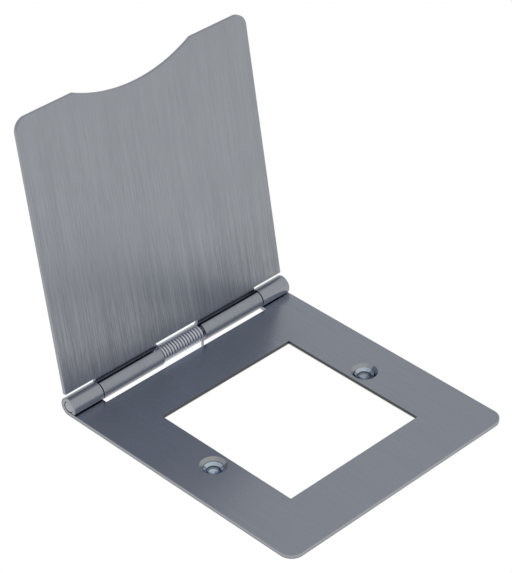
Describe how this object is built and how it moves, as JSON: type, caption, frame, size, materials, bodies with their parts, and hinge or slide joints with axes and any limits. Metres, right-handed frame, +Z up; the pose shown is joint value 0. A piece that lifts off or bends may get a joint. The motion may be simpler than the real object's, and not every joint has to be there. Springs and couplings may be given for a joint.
{
  "type": "hinged desk grommet",
  "caption": "Square stainless cable grommet plate with a sprung hinged lid, rolled hinge knuckles, a finger scoop and countersunk fixing screws.",
  "frame": {"origin": "centre of the square cable opening, on the plate's underside, which lies on the desk", "axes": "+X along the hinge, +Y from the free front edge towards the hinge, +Z up out of the desk"},
  "size_m": [0.0854, 0.1049, 0.0929],
  "materials": {
    "brushed_plate": "brushed",
    "brushed_lid": "brushed",
    "pin_steel": "turned",
    "spring_steel": "drawn wire",
    "zinc_plated": "bright zinc plated"
  },
  "bodies": {
    "base": {"base_plate": "brushed_plate", "hinge_pin": "pin_steel", "torsion_spring": "spring_steel", "fixing_screw_left": "zinc_plated", "fixing_screw_right": "zinc_plated"},
    "lid": {"lid": "brushed_lid"}
  },
  "joints": [
    {"name": "lid_hinge", "type": "hinge", "parent": "base", "child": "lid", "pos_m": [0, 0.04512, 0.00295], "axis": [-1, 0, 0], "range_deg": [-101.3, 79.7], "stiffness_Nm_per_rad": 0.004, "springref_deg": -171.89, "deforming": ["torsion_spring"]}
  ]
}
